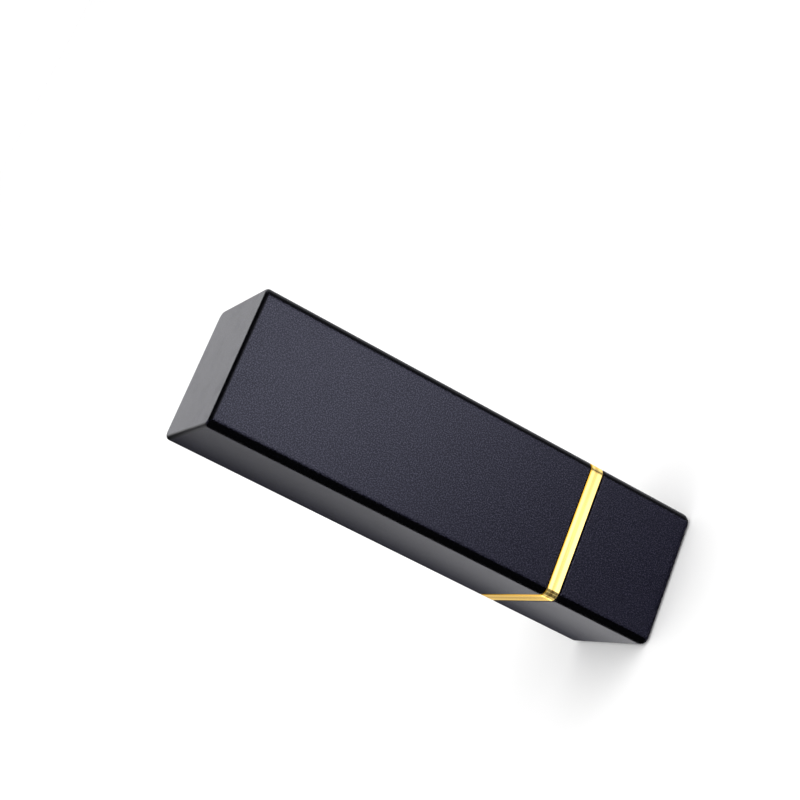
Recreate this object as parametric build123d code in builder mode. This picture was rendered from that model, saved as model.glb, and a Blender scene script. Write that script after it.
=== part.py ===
"""Square lipstick case with a twist-up mechanism, closed and standing on its base.

The origin is the centre of the base's underside, and +Z runs along the case towards the cap.
All lengths are in millimetres.
"""

import os

from build123d import *

os.makedirs("parts", exist_ok=True)

# ---------------------------------------------------------------------------
# Driving dimensions
# ---------------------------------------------------------------------------

# Outside of the closed case
width = 21.0
total_height = 73.8
base_height = 16.45
band_height = 2.15
turning_gap = 0.25
cap_seat_gap = 0.05
long_edge_radius = 1.4
base_end_radius = 1.2
cap_end_radius = 0.6
split_edge_radius = 0.15
band_edge_radius = 0.12

# Shells
shell_wall = 1.2
cavity_corner_radius = 0.4
base_floor = 1.8
cap_top_wall = 1.6

# Label recess in the base's underside
recess_radius = 8.2
recess_depth = 0.4
recess_edge_radius = 0.12
label_radius = 8.0
label_thickness = 0.15

# Twist-up mechanism, from the cup outwards
cup_bore_radius = 6.05
cup_outer_radius = 6.65
guide_inner_radius = 6.75
guide_outer_radius = 7.40
spiral_inner_radius = 7.45
groove_root_radius = 8.05
spiral_outer_radius = 8.27
collar_inner_radius = 8.30
collar_outer_radius = 8.60
liner_bore_radius = 8.70

# Travel of the cup
lead = 16.0
turns = 1.5

# Lugs of the cup, and the slots and grooves that they run in
lug_radius = 0.8
lug_reach = 7.95
lug_rest_z = 20.0
slot_width = 1.8
slot_end_room = 1.1
groove_width = 1.9
groove_end_turn = 8.0

# Gaps between pieces that are pressed or glued together, and between pieces that are stacked
press_gap = 0.02
stack_gap = 0.1

# ---------------------------------------------------------------------------
# Values worked out from the driving dimensions
# ---------------------------------------------------------------------------

band_bottom = base_height + turning_gap
band_top = band_bottom + band_height
cap_bottom = band_top + cap_seat_gap
cavity = width - 2 * shell_wall
inner_side = cavity - stack_gap
travel = lead * turns


def rounded_square(side, radius):
    """Adds a square with rounded corners to the sketch being built."""
    RectangleRounded(side, side, radius)


def ring(outer, inner):
    """Adds a flat ring to the sketch being built."""
    Circle(outer)
    Circle(inner, mode=Mode.SUBTRACT)


def corner_webs(tube_radius, length, thickness):
    """Adds four diagonal bars that join a round tube to the corners of its square plates."""
    bite = thickness / 2
    with PolarLocations(tube_radius + length / 2 - bite, 4, start_angle=45):
        Rectangle(length + bite, thickness)


# ---------------------------------------------------------------------------
# Base shell and the blank label in its recess
# ---------------------------------------------------------------------------

with BuildPart() as base_shell:
    with BuildSketch():
        rounded_square(width, long_edge_radius)
    extrude(amount=base_height)
    fillet(base_shell.faces().sort_by(Axis.Z)[0].edges(), base_end_radius)
    fillet(base_shell.faces().sort_by(Axis.Z)[-1].edges(), split_edge_radius)
    with BuildSketch(Plane.XY.offset(base_floor)):
        rounded_square(cavity, cavity_corner_radius)
    extrude(amount=base_height - base_floor, mode=Mode.SUBTRACT)
    with BuildSketch():
        Circle(recess_radius)
    extrude(amount=recess_depth, mode=Mode.SUBTRACT)
    underside = base_shell.faces().sort_by(Axis.Z)[0]
    fillet(underside.inner_wires()[0].edges(), recess_edge_radius)

with BuildPart() as label_disc:
    with BuildSketch(Plane.XY.offset(recess_depth - label_thickness)):
        Circle(label_radius)
    extrude(amount=label_thickness)

# ---------------------------------------------------------------------------
# Base weight: a steel block on the shell's floor, held down by the insert
# ---------------------------------------------------------------------------

weight_height = 3.0
weight_side_gap = 0.3
weight_corner_radius = 0.8
weight_hole_radius = 2.5
weight_chamfer = 0.25

with BuildPart() as base_weight:
    with BuildSketch(Plane.XY.offset(base_floor)):
        rounded_square(cavity - 2 * weight_side_gap, weight_corner_radius)
        Circle(weight_hole_radius, mode=Mode.SUBTRACT)
    extrude(amount=weight_height)
    chamfer(base_weight.edges().filter_by(Plane.XY), weight_chamfer)

# ---------------------------------------------------------------------------
# Base insert: a round socket between two square plates, with four corner webs
# ---------------------------------------------------------------------------

insert_bottom = base_floor + weight_height
insert_top = 16.0
insert_height = insert_top - insert_bottom
plate_thickness = 1.2
socket_radius = 7.9
socket_outer_radius = 8.8
web_thickness = 1.0
web_length = 2.4

with BuildPart() as base_insert:
    with BuildSketch(Plane.XY.offset(insert_bottom)):
        Circle(socket_outer_radius)
        corner_webs(socket_outer_radius, web_length, web_thickness)
    extrude(amount=insert_height)
    for plate_bottom in (insert_bottom, insert_top - plate_thickness):
        with BuildSketch(Plane.XY.offset(plate_bottom)):
            rounded_square(inner_side, cavity_corner_radius)
        extrude(amount=plate_thickness)
    with BuildSketch(Plane.XY.offset(insert_bottom + plate_thickness)):
        Circle(socket_radius)
    extrude(amount=insert_height, mode=Mode.SUBTRACT)

# ---------------------------------------------------------------------------
# Guide tube: knurled foot in the insert, ledge, slotted tube and top flange
# ---------------------------------------------------------------------------

foot_bottom = insert_bottom + plate_thickness
knurl_count = 24
knurl_radius = 0.3
ledge_height = 0.8
ledge_radius = 8.2
ledge_top = insert_top + ledge_height
brake_height = 1.0
spiral_bottom = ledge_top + brake_height + stack_gap
spiral_top = lug_rest_z + travel + 1.9
flange_height = 0.6
flange_radius = 8.07
guide_top = spiral_top + stack_gap + flange_height
slot_length = travel + 2 * slot_end_room
mouth_chamfer = 0.15

with BuildPart() as guide_tube:
    with BuildSketch(Plane.XY.offset(foot_bottom)):
        Circle(socket_radius - press_gap)
        with PolarLocations(socket_radius, knurl_count):
            Circle(knurl_radius, mode=Mode.SUBTRACT)
    extrude(amount=insert_top - foot_bottom)
    with BuildSketch(Plane.XY.offset(insert_top)):
        Circle(ledge_radius)
    extrude(amount=ledge_height)
    with BuildSketch(Plane.XY.offset(ledge_top)):
        Circle(guide_outer_radius)
    extrude(amount=guide_top - ledge_top)
    with BuildSketch(Plane.XY.offset(guide_top - flange_height)):
        Circle(flange_radius)
    extrude(amount=flange_height)
    with BuildSketch(Plane.XY.offset(foot_bottom)):
        Circle(guide_inner_radius)
    extrude(amount=guide_top - foot_bottom, mode=Mode.SUBTRACT)
    with BuildSketch(Plane.YZ):
        with Locations((0, lug_rest_z + travel / 2)):
            SlotOverall(slot_length, slot_width, rotation=90)
    extrude(amount=width, both=True, mode=Mode.SUBTRACT)
    chamfer(guide_tube.faces().sort_by(Axis.Z)[-1].edges(), mouth_chamfer)

# ---------------------------------------------------------------------------
# Brake ring: a silicone ring between the guide tube and the collar
# ---------------------------------------------------------------------------

brake_centre_radius = (collar_inner_radius + guide_outer_radius) / 2
brake_section_radius = (collar_inner_radius - guide_outer_radius) / 2 - press_gap

with BuildPart() as brake_ring:
    with BuildSketch(Plane.XZ):
        with Locations((brake_centre_radius, ledge_top + brake_height / 2)):
            Circle(brake_section_radius)
    revolve(axis=Axis.Z)

# ---------------------------------------------------------------------------
# Spiral sleeve: two left-handed grooves in its bore, half a turn apart
# ---------------------------------------------------------------------------

groove_turn = 360 * turns + 2 * groove_end_turn
groove_rise = lead * groove_turn / 360
groove_start_z = lug_rest_z - lead * groove_end_turn / 360
cutter_inner_radius = spiral_inner_radius - 0.3
cutter_depth = groove_root_radius - cutter_inner_radius
cutter_mid_radius = (groove_root_radius + cutter_inner_radius) / 2

with BuildPart() as groove_cutter:
    with BuildLine() as groove_line:
        Helix(
            pitch=lead,
            height=groove_rise,
            radius=cutter_mid_radius,
            center=(0, 0, groove_start_z),
            lefthand=True,
        )
    groove_path = groove_line.wires()[0]
    with BuildSketch(Plane(origin=groove_path @ 0, x_dir=(1, 0, 0), z_dir=groove_path % 0)):
        Rectangle(cutter_depth, groove_width)
    sweep(path=groove_path, is_frenet=True)

with BuildPart() as spiral_sleeve:
    with BuildSketch(Plane.XY.offset(spiral_bottom)):
        ring(spiral_outer_radius, spiral_inner_radius)
    extrude(amount=spiral_top - spiral_bottom)
    with PolarLocations(0, 2, start_angle=groove_end_turn):
        add(groove_cutter.part, mode=Mode.SUBTRACT)

# ---------------------------------------------------------------------------
# Collar tube: thin drawn tube with a rounded lip turned in over the mechanism
# ---------------------------------------------------------------------------

collar_wall = collar_outer_radius - collar_inner_radius
collar_bottom = ledge_top + stack_gap
lip_bottom = guide_top + 2 * stack_gap
lip_radius = 7.1
lip_bend_radius = 0.55

with BuildPart() as collar_tube:
    with BuildSketch(Plane.XY.offset(collar_bottom)):
        ring(collar_outer_radius, collar_inner_radius)
    extrude(amount=lip_bottom - collar_bottom)
    with BuildSketch(Plane.XY.offset(lip_bottom)):
        ring(collar_outer_radius, lip_radius)
    extrude(amount=collar_wall)
    top_rims = collar_tube.faces().sort_by(Axis.Z)[-1].edges().sort_by(SortBy.RADIUS)
    fillet(top_rims[-1], lip_bend_radius)
    fillet(top_rims[0], collar_wall / 2)

# ---------------------------------------------------------------------------
# Gold band: its step stands inside the cap's square mouth and keeps the cap in line
# ---------------------------------------------------------------------------

step_height = 1.4
step_side = cavity - 0.4
step_corner_radius = 0.6
step_chamfer = 0.25

with BuildPart() as gold_band:
    with BuildSketch(Plane.XY.offset(band_bottom)):
        rounded_square(width, long_edge_radius)
    extrude(amount=band_height)
    fillet(gold_band.edges().filter_by(Plane.XY), band_edge_radius)
    with BuildSketch(Plane.XY.offset(band_top)):
        rounded_square(step_side, step_corner_radius)
    extrude(amount=step_height)
    chamfer(gold_band.faces().sort_by(Axis.Z)[-1].edges(), step_chamfer)
    with BuildSketch(Plane.XY.offset(band_bottom)):
        Circle(collar_outer_radius + press_gap)
    extrude(amount=band_height + step_height, mode=Mode.SUBTRACT)

# ---------------------------------------------------------------------------
# Cup: open above a raised floor, with a skirt below it that carries the lugs
# ---------------------------------------------------------------------------

cup_height = 14.0
cup_bottom = lug_rest_z - 1.8
skirt_height = 2.8
skirt_wall = 0.8
cup_floor = 0.8
bore_bottom = cup_bottom + skirt_height + cup_floor
vent_radius = 0.9
rim_chamfer = 0.25
lug_root = cup_outer_radius - skirt_wall / 2

with BuildPart() as cup:
    with BuildSketch(Plane.XY.offset(cup_bottom)):
        Circle(cup_outer_radius)
    extrude(amount=cup_height)
    with BuildSketch(Plane.XY.offset(cup_bottom)):
        Circle(cup_outer_radius - skirt_wall)
    extrude(amount=skirt_height, mode=Mode.SUBTRACT)
    with BuildSketch(Plane.XY.offset(bore_bottom)):
        Circle(cup_bore_radius)
    extrude(amount=cup_bottom + cup_height - bore_bottom, mode=Mode.SUBTRACT)
    with BuildSketch(Plane.XY.offset(bore_bottom)):
        Circle(vent_radius)
    extrude(amount=-cup_floor, mode=Mode.SUBTRACT)
    outer_rim = cup.faces().sort_by(Axis.Z)[-1].edges().sort_by(SortBy.RADIUS)[-1]
    chamfer(outer_rim, rim_chamfer)
    for side in (1, -1):
        with BuildSketch(Plane.YZ.offset(side * lug_root)):
            with Locations((0, lug_rest_z)):
                Circle(lug_radius)
        extrude(amount=side * (lug_reach - lug_root))

# ---------------------------------------------------------------------------
# Cap shell
# ---------------------------------------------------------------------------

cap_ceiling = total_height - cap_top_wall

with BuildPart() as cap_shell:
    with BuildSketch(Plane.XY.offset(cap_bottom)):
        rounded_square(width, long_edge_radius)
    extrude(amount=total_height - cap_bottom)
    fillet(cap_shell.faces().sort_by(Axis.Z)[-1].edges(), cap_end_radius)
    fillet(cap_shell.faces().sort_by(Axis.Z)[0].edges(), split_edge_radius)
    with BuildSketch(Plane.XY.offset(cap_bottom)):
        rounded_square(cavity, cavity_corner_radius)
    extrude(amount=cap_ceiling - cap_bottom, mode=Mode.SUBTRACT)

# ---------------------------------------------------------------------------
# Cap liner: a closed thin tube with three square plates, corner webs and grip ribs
# ---------------------------------------------------------------------------

liner_bottom = band_top + step_height + 0.3
liner_top = cap_ceiling - stack_gap
liner_height = liner_top - liner_bottom
liner_ceiling = 1.0
plate_levels = (liner_bottom, liner_bottom + liner_height / 2, liner_top - plate_thickness)
mouth_lead_in = 0.3
grip_count = 6
grip_width = 0.8
grip_height = 0.05
grip_bottom = liner_bottom + 2.0
grip_length = 14.0

with BuildPart() as cap_liner:
    with BuildSketch(Plane.XY.offset(liner_bottom)):
        Circle(inner_side / 2)
        corner_webs(inner_side / 2, web_length, web_thickness)
    extrude(amount=liner_height)
    for level in plate_levels:
        with BuildSketch(Plane.XY.offset(level)):
            rounded_square(inner_side, cavity_corner_radius)
        extrude(amount=plate_thickness)
    with BuildSketch(Plane.XY.offset(liner_bottom)):
        Circle(liner_bore_radius)
    extrude(amount=liner_height - liner_ceiling, mode=Mode.SUBTRACT)
    chamfer(cap_liner.faces().sort_by(Axis.Z)[0].inner_wires()[0].edges(), mouth_lead_in)
    with BuildSketch(Plane.XY.offset(grip_bottom)):
        with PolarLocations(liner_bore_radius, grip_count, start_angle=30):
            Rectangle(2 * grip_height, grip_width)
    extrude(amount=grip_length)

# ---------------------------------------------------------------------------
# Labels and files
# ---------------------------------------------------------------------------

pieces = {
    "base_shell": base_shell,
    "label_disc": label_disc,
    "base_weight": base_weight,
    "base_insert": base_insert,
    "guide_tube": guide_tube,
    "brake_ring": brake_ring,
    "spiral_sleeve": spiral_sleeve,
    "collar_tube": collar_tube,
    "gold_band": gold_band,
    "cup": cup,
    "cap_shell": cap_shell,
    "cap_liner": cap_liner,
}

for name, piece in pieces.items():
    piece.part.label = name
    export_step(piece.part, f"parts/{name}.step")
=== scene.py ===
"""Looks for the square lipstick case: materials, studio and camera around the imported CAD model.

Everything is in metres, in the frame of the CAD model: the case stands on z = 0 with its cap up.
"""

import math

import bpy
from mathutils import Matrix, Vector


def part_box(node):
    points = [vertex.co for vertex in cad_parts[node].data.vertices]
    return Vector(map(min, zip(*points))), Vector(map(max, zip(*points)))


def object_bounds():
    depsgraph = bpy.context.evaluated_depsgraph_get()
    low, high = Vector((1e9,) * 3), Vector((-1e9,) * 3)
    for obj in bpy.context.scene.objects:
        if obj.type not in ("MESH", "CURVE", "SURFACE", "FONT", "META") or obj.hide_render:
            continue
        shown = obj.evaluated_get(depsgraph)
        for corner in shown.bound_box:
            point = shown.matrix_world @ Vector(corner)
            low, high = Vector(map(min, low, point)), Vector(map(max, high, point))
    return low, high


MM = 0.001

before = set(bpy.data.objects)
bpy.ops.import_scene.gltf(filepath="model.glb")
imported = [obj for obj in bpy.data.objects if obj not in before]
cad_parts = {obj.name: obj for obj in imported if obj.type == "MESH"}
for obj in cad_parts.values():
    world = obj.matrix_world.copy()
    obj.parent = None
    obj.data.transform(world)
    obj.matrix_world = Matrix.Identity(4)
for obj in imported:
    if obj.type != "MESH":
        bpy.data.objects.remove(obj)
cad_low, cad_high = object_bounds()
centre = (cad_low + cad_high) / 2
half_width = (cad_high.x - cad_low.x) / 2

# ---------------------------------------------------------------------------
# Node helpers
# ---------------------------------------------------------------------------


class Nodes:
    """A node tree under construction."""

    def __init__(self, tree, coordinates):
        self.tree = tree
        self.place = self.node("ShaderNodeTexCoord").outputs[coordinates]

    def node(self, kind, settings=None, **inputs):
        """Adds a node; inputs are sockets to link or values to set."""
        made = self.tree.nodes.new(kind)
        for key, value in (settings or {}).items():
            setattr(made, key, value)
        for key, value in inputs.items():
            self.feed(made.inputs[key.replace("_", " ")], value)
        return made

    def feed(self, socket, value):
        if isinstance(value, bpy.types.NodeSocket):
            self.tree.links.new(value, socket)
        else:
            socket.default_value = value

    def math(self, operation, first, second=0.0):
        made = self.node("ShaderNodeMath", {"operation": operation})
        self.feed(made.inputs[0], first)
        self.feed(made.inputs[1], second)
        return made.outputs[0]

    def add(self, first, second):
        return self.math("ADD", first, second)

    def times(self, first, second):
        return self.math("MULTIPLY", first, second)

    def axes(self):
        """The X, Y and Z of the place that is being shaded."""
        split = self.node("ShaderNodeSeparateXYZ", Vector=self.place).outputs
        return split["X"], split["Y"], split["Z"]

    def noise(self, size, detail=2.0, roughness=0.5, vector=None):
        """Noise whose features are about `size` metres across, from 0 to 1."""
        made = self.node(
            "ShaderNodeTexNoise",
            Vector=vector or self.place,
            Scale=1.0 / size,
            Detail=detail,
            Roughness=roughness,
        )
        return made.outputs["Fac"]

    def ramp(self, value, low, high, out_low=0.0, out_high=1.0):
        """Maps value from low..high to out_low..out_high, smoothly and without overshoot."""
        made = self.node(
            "ShaderNodeMapRange",
            {"interpolation_type": "SMOOTHSTEP"},
            Value=value,
            From_Min=low,
            From_Max=high,
            To_Min=out_low,
            To_Max=out_high,
        )
        return made.outputs["Result"]

    def window(self, value, low, high, fade):
        """1 between low and high, falling to 0 over `fade` on each side."""
        rising = self.ramp(value, low - fade, low)
        return self.times(rising, self.ramp(value, high + fade, high))

    def blend(self, amount, first, second):
        """Mixes two colours. The node's colour sockets go by number, as its names repeat."""
        made = self.node("ShaderNodeMix", {"data_type": "RGBA"}, Factor=amount)
        self.feed(made.inputs[6], first)
        self.feed(made.inputs[7], second)
        return made.outputs[2]


class Shader(Nodes):
    """A material under construction: one Principled shader and the nodes that feed it."""

    def __init__(self, name, **constants):
        self.material = bpy.data.materials.new(name)
        self.material.use_nodes = True
        super().__init__(self.material.node_tree, "Object")
        self.principled = self.tree.nodes["Principled BSDF"]
        for socket, value in constants.items():
            self.principled.inputs[socket.replace("_", " ")].default_value = value

    def bump(self, height, depth, normal=None):
        """A bump of `depth` metres for a height from 0 to 1."""
        made = self.node("ShaderNodeBump", Strength=1.0, Distance=depth, Height=height)
        if normal is not None:
            self.feed(made.inputs["Normal"], normal)
        return made.outputs["Normal"]

    def stretched(self, x, y, z):
        """Object coordinates with so many features to a metre along each axis, for streaks."""
        made = self.node("ShaderNodeMapping", Vector=self.place)
        made.inputs["Scale"].default_value = (x, y, z)
        return made.outputs["Vector"]

    def drive(self, **sockets):
        """Links values to the shader's own sockets."""
        for key, value in sockets.items():
            self.feed(self.principled.inputs[key.replace("_", " ")], value)
        return self


def colour(red, green, blue):
    return (red, green, blue, 1.0)


# ---------------------------------------------------------------------------
# Materials
# ---------------------------------------------------------------------------


def long_edges(shader):
    """1 on the four rounded long edges of a square shell, 0 on its flats."""
    edge_start = 1.25 * MM
    edge_full = 1.0 * MM
    x, y, _ = shader.axes()
    outward = shader.add(shader.math("ABSOLUTE", x), shader.math("ABSOLUTE", y))
    sharp_corner = 2 * half_width
    return shader.ramp(outward, sharp_corner - edge_start, sharp_corner - edge_full)


def square_reach(shader):
    """Half the side of the square round the case's axis that this point lies on."""
    x, y, _ = shader.axes()
    return shader.math("MAXIMUM", shader.math("ABSOLUTE", x), shader.math("ABSOLUTE", y))


def end_edge(shader, end_z, reach):
    """1 on the rounded edge of a square shell's closed end, 0 on its flats further in than `reach`."""
    _, _, z = shader.axes()
    from_end = shader.math("ABSOLUTE", shader.math("SUBTRACT", z, end_z))
    corner = shader.math("SUBTRACT", square_reach(shader), from_end)
    return shader.ramp(corner, half_width - reach, half_width - 0.7 * reach)


def soft_touch_black(name, end_z, edge_reach):
    """Sprayed soft-touch lacquer: blue-black and finely grained, smoother on its edges, with painted
    shade that makes the edges almost black.
    """
    grain_size = 0.175 * MM
    grain_depth = 0.022 * MM
    cloud_size = 9 * MM
    smudge_size = 3.5 * MM
    between_grains = colour(0.0, 0.0, 0.0070)
    on_grains = colour(0.0380, 0.0355, 0.0605)
    # Painted shade: the colour given to the rounded edges, for the dark lines along them.
    painted_edge_shade = colour(0.0006, 0.0006, 0.0010)

    shader = Shader(name, IOR=1.5, Specular_Tint=colour(0.80, 0.82, 1.0))
    long_edge = long_edges(shader)
    edge = shader.math("MAXIMUM", long_edge, end_edge(shader, end_z, edge_reach))
    grain = shader.noise(grain_size, detail=1.0, roughness=0.6)
    cloud = shader.noise(cloud_size, detail=3.0)
    smudge = shader.ramp(shader.noise(smudge_size, detail=4.0, roughness=0.6), 0.45, 0.75)

    tone = shader.add(shader.ramp(grain, 0.45, 0.70), shader.times(cloud, 0.06))
    body = shader.blend(tone, between_grains, on_grains)
    # Painted shade: the rounded edges are painted almost black, for the dark lines that run along them.
    body = shader.blend(edge, body, painted_edge_shade)
    roughness = shader.add(0.36, shader.times(grain, 0.10))
    roughness = shader.add(roughness, shader.times(smudge, 0.03))
    roughness = shader.math("SUBTRACT", roughness, shader.times(long_edge, 0.20))
    reflectance = shader.ramp(grain, 0.35, 0.65, 0.42, 0.58)
    height = shader.times(grain, shader.ramp(edge, 0.0, 1.0, 1.0, 0.15))
    normal = shader.bump(height, grain_depth)
    shader.drive(Base_Color=body, Roughness=roughness, Specular_IOR_Level=reflectance, Normal=normal)
    return shader.material


def polished_gold():
    """Polished gold: lines drawn round the band, patches, and painted shade along its middle and at its
    rim by the cap.
    """
    patch_size = 5 * MM
    line_depth = 0.006 * MM
    hairline_depth = 0.0006 * MM
    # The first gold colours the drawn lines and the painted shade along the band's middle; the second
    # is painted shade at its rim.
    line_and_shade_gold = colour(0.60, 0.39, 0.12)
    rim_shade_gold = colour(0.50, 0.27, 0.02)
    rim_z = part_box("cap_shell")[0].z
    middle_z = (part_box("gold_band")[0].z + rim_z) / 2

    shader = Shader("polished_gold", Metallic=1.0, Specular_Tint=colour(1.0, 0.80, 0.45))
    _, _, z = shader.axes()
    line = shader.noise(1.0, detail=1.0, vector=shader.stretched(60, 60, 2400))
    hairline = shader.noise(1.0, detail=2.0, vector=shader.stretched(500, 500, 16000))
    patch = shader.noise(patch_size, detail=3.0)
    # Painted shade along the band's middle, mixed below with the lines drawn round the band.
    lines_and_middle_shade = shader.window(z, middle_z - 0.10 * MM, middle_z + 0.15 * MM, 0.35 * MM)
    lines_and_middle_shade = shader.add(shader.times(lines_and_middle_shade, 0.75), shader.ramp(line, 0.45, 0.70, 0.0, 0.4))
    outside = shader.ramp(square_reach(shader), half_width - 0.9 * MM, half_width - 0.5 * MM)
    # Painted shade: a deeper gold round the outside of the band's rim next to the cap.
    rim_shade = shader.times(shader.window(z, rim_z - 0.10 * MM, rim_z, 0.30 * MM), outside)

    body = shader.blend(patch, colour(0.95, 0.71, 0.23), colour(0.97, 0.76, 0.29))
    body = shader.blend(lines_and_middle_shade, body, line_and_shade_gold)
    body = shader.blend(rim_shade, body, rim_shade_gold)
    roughness = shader.add(0.08, shader.times(patch, 0.08))
    normal = shader.bump(line, line_depth)
    normal = shader.bump(hairline, hairline_depth, normal)
    return shader.drive(Base_Color=body, Roughness=roughness, Normal=normal).material


def anodised_gold():
    """Satin gold anodised tube, with fine turned lines round it."""
    patch_size = 5 * MM
    turning_depth = 0.002 * MM
    shader = Shader("anodised_gold", Metallic=1.0)
    turned = shader.noise(1.0, detail=3.0, vector=shader.stretched(300, 300, 14000))
    patch = shader.noise(patch_size, detail=3.0)
    body = shader.blend(patch, colour(0.80, 0.55, 0.17), colour(0.88, 0.64, 0.24))
    roughness = shader.add(0.22, shader.times(turned, 0.12))
    normal = shader.bump(turned, turning_depth)
    return shader.drive(Base_Color=body, Roughness=roughness, Normal=normal).material


def moulded(name, dark, light, least_roughness, **constants):
    """Moulded plastic: faint flow clouds, a fine mould texture and uneven gloss."""
    cloud_size = 6 * MM
    texture_size = 0.25 * MM
    texture_depth = 0.002 * MM
    shader = Shader(name, **constants)
    cloud = shader.noise(cloud_size, detail=4.0)
    texture = shader.noise(texture_size, detail=3.0, roughness=0.6)
    body = shader.blend(shader.ramp(cloud, 0.3, 0.7), dark, light)
    roughness = shader.add(least_roughness, shader.times(cloud, 0.12))
    normal = shader.bump(texture, texture_depth)
    return shader.drive(Base_Color=body, Roughness=roughness, Normal=normal).material


def plated_steel():
    """Bright zinc plating with rolled streaks."""
    streak_depth = 0.004 * MM
    shader = Shader("plated_steel", Metallic=1.0)
    streak = shader.noise(1.0, detail=4.0, vector=shader.stretched(250, 5000, 250))
    body = shader.blend(streak, colour(0.50, 0.50, 0.49), colour(0.68, 0.68, 0.66))
    roughness = shader.add(0.28, shader.times(streak, 0.2))
    normal = shader.bump(streak, streak_depth)
    return shader.drive(Base_Color=body, Roughness=roughness, Normal=normal).material


materials = {
    "cap_shell": soft_touch_black("soft_touch_black_cap", cad_high.z, 0.65 * MM),
    "base_shell": soft_touch_black("soft_touch_black_base", cad_low.z, 0.60 * MM),
    "gold_band": polished_gold(),
    "collar_tube": anodised_gold(),
    "cap_liner": moulded(
        "moulded_black", colour(0.012, 0.012, 0.013), colour(0.02, 0.02, 0.021), 0.38
    ),
    "cup": moulded(
        "gloss_black", colour(0.010, 0.010, 0.011), colour(0.014, 0.014, 0.015), 0.10
    ),
    "guide_tube": moulded(
        "natural_acetal",
        colour(0.72, 0.71, 0.66),
        colour(0.80, 0.79, 0.75),
        0.35,
        Subsurface_Weight=0.15,
        Subsurface_Scale=1.0 * MM,
    ),
    "brake_ring": moulded("silicone", colour(0.40, 0.40, 0.38), colour(0.50, 0.50, 0.48), 0.30),
    "label_disc": moulded("label_film", colour(0.014, 0.014, 0.018), colour(0.02, 0.02, 0.025), 0.32),
    "base_weight": plated_steel(),
}
materials["base_insert"] = materials["cap_liner"]
materials["spiral_sleeve"] = materials["guide_tube"]

for name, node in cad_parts.items():
    node.data.materials.clear()
    node.data.materials.append(materials[name])

# ---------------------------------------------------------------------------
# Studio
# ---------------------------------------------------------------------------


def add_floor():
    """A pale floor. The case's own reflections show the studio's surroundings instead of it."""
    reach = 3.0
    mottle_size = 0.4
    shader = Shader("pale_floor", Roughness=0.8, Specular_IOR_Level=0.2)
    mottle = shader.noise(mottle_size, detail=2.0)
    body = shader.blend(mottle, colour(0.90, 0.90, 0.90), colour(0.92, 0.92, 0.92))
    shader.drive(Base_Color=body)
    mesh = bpy.data.meshes.new("floor")
    corners = [(-reach, -reach, 0), (reach, -reach, 0), (reach, reach, 0), (-reach, reach, 0)]
    mesh.from_pydata(corners, [], [(0, 1, 2, 3)])
    mesh.materials.append(shader.material)
    made = bpy.data.objects.new("floor", mesh)
    made.visible_glossy = False
    bpy.context.scene.collection.objects.link(made)


def add_world():
    """White surroundings. Reflections show a studio of soft lights with dark gaps between them.

    x, y and z are those of the direction looked in, a vector of length 1.
    """
    faint = 0.015
    plain_white = 1.16
    world = bpy.data.worlds.new("studio")
    world.use_nodes = True
    world.cycles.sampling_method = "NONE"
    nodes = Nodes(world.node_tree, "Generated")
    x, y, z = nodes.axes()
    # In front, a soft glow near the horizon.
    ahead = nodes.times(nodes.ramp(y, -0.40, -0.70), nodes.ramp(x, -0.25, 0.05))
    front = nodes.times(ahead, nodes.window(z, -0.05, 0.10, 0.22))
    # Behind, bright light low above the horizon.
    level = nodes.times(nodes.ramp(z, 0.07, 0.28, 0.12, 2.8), nodes.ramp(z, 0.60, 0.36))
    behind = nodes.times(nodes.ramp(y, 0.62, 0.84), nodes.ramp(x, -0.15, 0.20))
    behind = nodes.times(behind, level)
    # On the right, light that grows towards the back.
    right = nodes.times(nodes.ramp(x, 0.45, 0.65), nodes.ramp(z, 0.75, 0.45))
    right = nodes.times(right, nodes.ramp(y, -0.35, 0.35, 0.1, 1.0))
    lit = faint
    for light, brightness in ((front, 0.15), (behind, 1.0), (right, 0.60)):
        lit = nodes.add(lit, nodes.times(light, brightness))
    # Only reflections show this studio; everything else is lit by plain white.
    reflected = nodes.node("ShaderNodeLightPath").outputs["Is Glossy Ray"]
    strength = nodes.node("ShaderNodeMix", Factor=reflected)
    nodes.feed(strength.inputs[2], plain_white)
    nodes.feed(strength.inputs[3], lit)
    background = world.node_tree.nodes["Background"]
    nodes.feed(background.inputs["Strength"], strength.outputs[0])
    background.inputs["Color"].default_value = colour(1.0, 1.0, 1.0)
    bpy.context.scene.world = world


def card_material(name, strength_of):
    """A light that adds to what is behind it; strength_of gives its strength from its nodes."""
    material = bpy.data.materials.new(name)
    material.use_nodes = True
    material.cycles.emission_sampling = "NONE"
    material.node_tree.nodes.clear()
    nodes = Nodes(material.node_tree, "Object")
    glow = nodes.node("ShaderNodeEmission", Strength=strength_of(nodes))
    both = nodes.node("ShaderNodeAddShader")
    nodes.feed(both.inputs[0], glow.outputs[0])
    nodes.feed(both.inputs[1], nodes.node("ShaderNodeBsdfTransparent").outputs[0])
    output = nodes.node("ShaderNodeOutputMaterial")
    nodes.feed(output.inputs["Surface"], both.outputs[0])
    return material


def add_light_mesh(name, mesh, strength_of, seen_by=()):
    """A soft light that only reflections show, in every piece or in the named ones alone."""
    mesh.materials.append(card_material(name, strength_of))
    made = bpy.data.objects.new(name, mesh)
    made.visible_camera = False
    made.visible_diffuse = False
    made.visible_transmission = False
    made.visible_shadow = False
    if seen_by:
        receivers = bpy.data.collections.new(name)
        for piece in seen_by:
            receivers.objects.link(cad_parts[piece])
        made.light_linking.receiver_collection = receivers
    bpy.context.scene.collection.objects.link(made)


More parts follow.
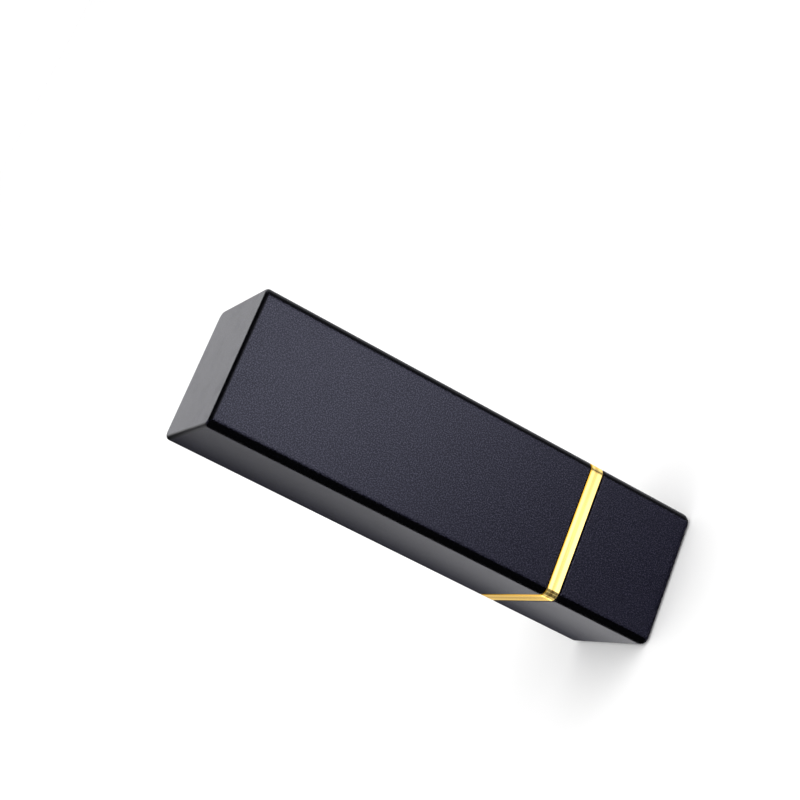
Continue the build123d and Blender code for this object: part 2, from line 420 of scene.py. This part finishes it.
def add_card(name, y, x_range, z_range, strength_of):
    """An upright card of light, square to the Y axis."""
    left, right = x_range
    bottom, top = z_range
    mesh = bpy.data.meshes.new(name)
    corners = [(left, y, bottom), (right, y, bottom), (right, y, top), (left, y, top)]
    mesh.from_pydata(corners, [], [(0, 1, 2, 3)])
    add_light_mesh(name, mesh, strength_of)


def add_ring(name, radius, z_range, strength_of, seen_by):
    """An upright ring of light round the case."""
    sides = 96
    turns = [2 * math.pi * side / sides for side in range(sides)]
    points = [(radius * math.cos(turn), radius * math.sin(turn), z) for z in z_range for turn in turns]
    faces = []
    for side in range(sides):
        following = (side + 1) % sides
        faces.append((side, following, sides + following, sides + side))
    mesh = bpy.data.meshes.new(name)
    mesh.from_pydata(points, [], faces)
    add_light_mesh(name, mesh, strength_of, seen_by)


def front_glow(nodes):
    """Bright at the level of the cap's end, fading to nothing towards the base and to the left."""
    brightness = 2.75
    x, _, z = nodes.axes()
    across = nodes.window(x, 0.0, 70 * MM, 15 * MM)
    slanted = nodes.add(z, nodes.times(x, 0.8))
    upward = nodes.ramp(slanted, -10 * MM, 62 * MM)
    return nodes.times(nodes.times(upward, across), brightness)


def side_glow(nodes):
    """Bright a little way out from the level of the side face, and brightest low down."""
    x, _, z = nodes.axes()
    out = nodes.window(x, -30.5 * MM, -19.2 * MM, 3.5 * MM)
    return nodes.times(out, nodes.ramp(z, 62 * MM, -18 * MM, 1.00, 2.30))


def ring_glow(nodes):
    """Even light with a brighter strip in front, and three short gaps that draw dark lines."""
    even_light = 0.80
    gaps_in_degrees = ((-90, -51), (-42, -8), (49, 64))
    x, y, z = nodes.axes()
    # The heading is 0 in front of the case and grows towards +X.
    heading = nodes.math("ARCTAN2", x, nodes.times(y, -1.0))
    strip = nodes.window(heading, math.radians(-10), math.radians(22), math.radians(12))
    strip = nodes.times(strip, nodes.window(z, -0.26, -0.22, 0.05))
    strip_light = nodes.ramp(heading, math.radians(15.0), math.radians(19.5), 1.60, 0.75)
    lit = nodes.ramp(z, 0.60, 0.20, 0.0, even_light)
    lit = nodes.add(lit, nodes.times(strip, strip_light))
    for start, end in gaps_in_degrees:
        gap = nodes.window(heading, math.radians(start), math.radians(end), math.radians(3))
        gap = nodes.times(gap, nodes.window(z, -0.29, -0.225, 0.02))
        lit = nodes.times(lit, nodes.math("SUBTRACT", 1.0, gap))
    return lit


def add_area_light(name, place, size, watts):
    """A soft light on the case and the floor that doesn't show in reflections."""
    light = bpy.data.lights.new(name, "AREA")
    light.shape = "SQUARE"
    light.size = size
    light.energy = watts
    made = bpy.data.objects.new(name, light)
    made.location = place
    made.rotation_mode = "QUATERNION"
    made.rotation_quaternion = (centre - Vector(place)).to_track_quat("-Z", "Y")
    made.visible_camera = False
    made.visible_glossy = False
    bpy.context.scene.collection.objects.link(made)


add_floor()
add_world()
add_card(
    "front_card",
    y=-110 * MM,
    x_range=(-15 * MM, 85 * MM),
    z_range=(-50 * MM, 85 * MM),
    strength_of=front_glow,
)
add_card(
    "side_card",
    y=16 * MM,
    x_range=(-35 * MM, -12 * MM),
    z_range=(-30 * MM, 85 * MM),
    strength_of=side_glow,
)
add_ring(
    "gold_ring",
    radius=0.50,
    z_range=(-0.45, 0.60),
    strength_of=ring_glow,
    seen_by=("gold_band", "collar_tube"),
)
add_area_light("key", place=(0.20, -0.35, 0.75), size=0.6, watts=2.0)

# ---------------------------------------------------------------------------
# Camera: the case lies across the picture, so the camera is rolled
# ---------------------------------------------------------------------------


def add_camera():
    """Looks at the case from its front left and a little above."""
    azimuth = math.radians(16.889)
    elevation = math.radians(18.788)
    roll = math.radians(61.919)
    distance = 224.24 * MM
    aim_left = 5.064 * MM
    aim_up = 11.571 * MM
    focal_length = 68.827
    sensor_width = 36.0
    forward = Vector(
        (
            math.sin(azimuth) * math.cos(elevation),
            math.cos(azimuth) * math.cos(elevation),
            -math.sin(elevation),
        )
    )
    level_right = Vector((math.cos(azimuth), -math.sin(azimuth), 0.0))
    level_up = level_right.cross(forward)
    right = level_right * math.cos(roll) - level_up * math.sin(roll)
    up = right.cross(forward)
    aim = centre - right * aim_left + up * aim_up
    data = bpy.data.cameras.new("camera")
    data.lens = focal_length
    data.sensor_width = sensor_width
    data.clip_start = 10 * MM
    camera = bpy.data.objects.new("camera", data)
    turn = Matrix((right, up, -forward)).transposed()
    camera.matrix_world = Matrix.Translation(aim - forward * distance) @ turn.to_4x4()
    bpy.context.scene.collection.objects.link(camera)
    bpy.context.scene.camera = camera


add_camera()

scene = bpy.context.scene
scene.view_settings.view_transform = "Standard"
scene.view_settings.look = "None"
